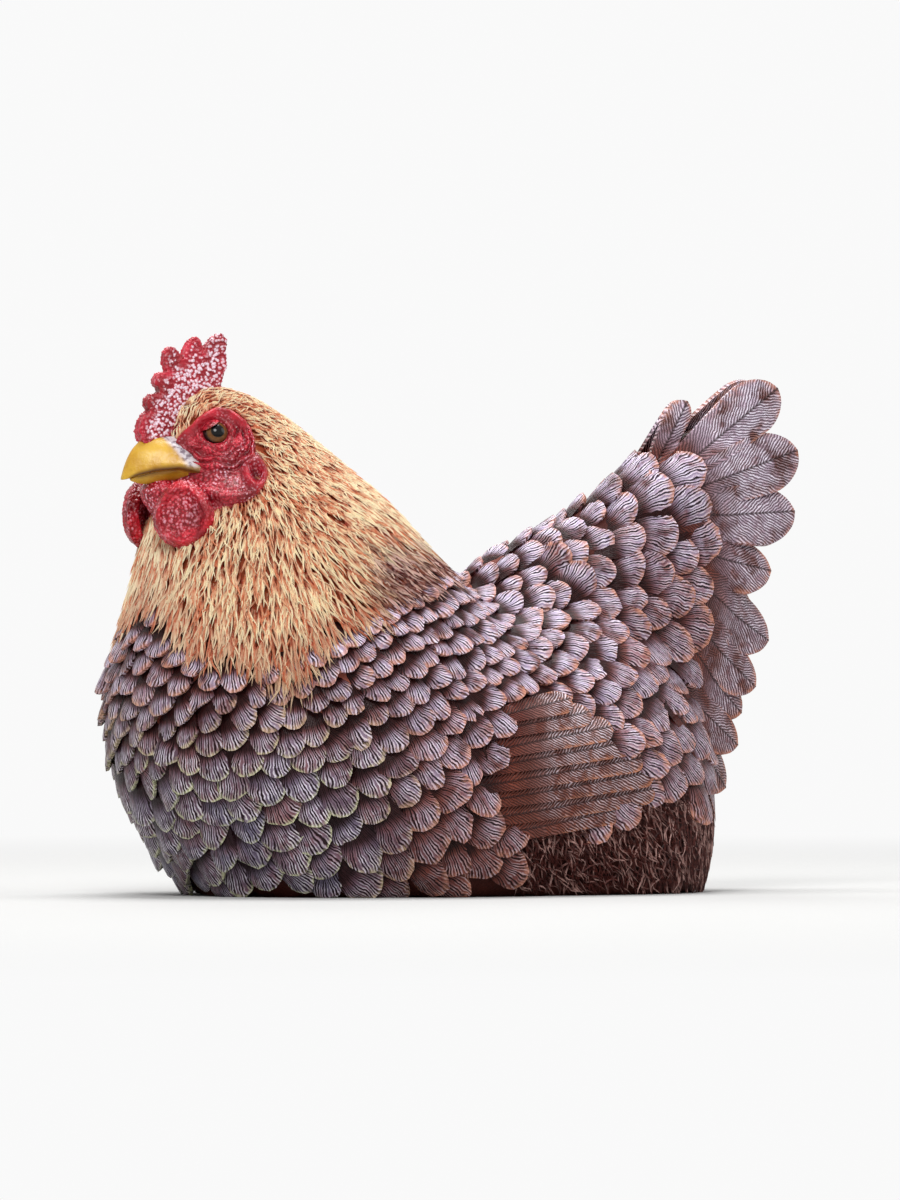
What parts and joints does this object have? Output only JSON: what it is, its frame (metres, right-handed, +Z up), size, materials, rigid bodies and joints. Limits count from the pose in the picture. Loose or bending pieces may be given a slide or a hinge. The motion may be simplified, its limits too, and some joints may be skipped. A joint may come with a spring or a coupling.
{
  "type": "hen figurine",
  "caption": "Cast resin garden figurine of a sitting hen with hackle cape, scale feathers, folded wings and fanned tail, on a flat base.",
  "frame": {"origin": "centre of the bounding box in X and Y, on the flat underside", "axes": "+Z up, -X is where the beak points, +X is the tail, -Y is the bird's left side"},
  "size_m": [0.374, 0.215, 0.2798],
  "materials": {
    "painted_resin": "hand-painted cast resin, satin varnish, dry-brushed feather edges"
  },
  "bodies": {
    "root": {"hen": "painted_resin"}
  },
  "joints": []
}
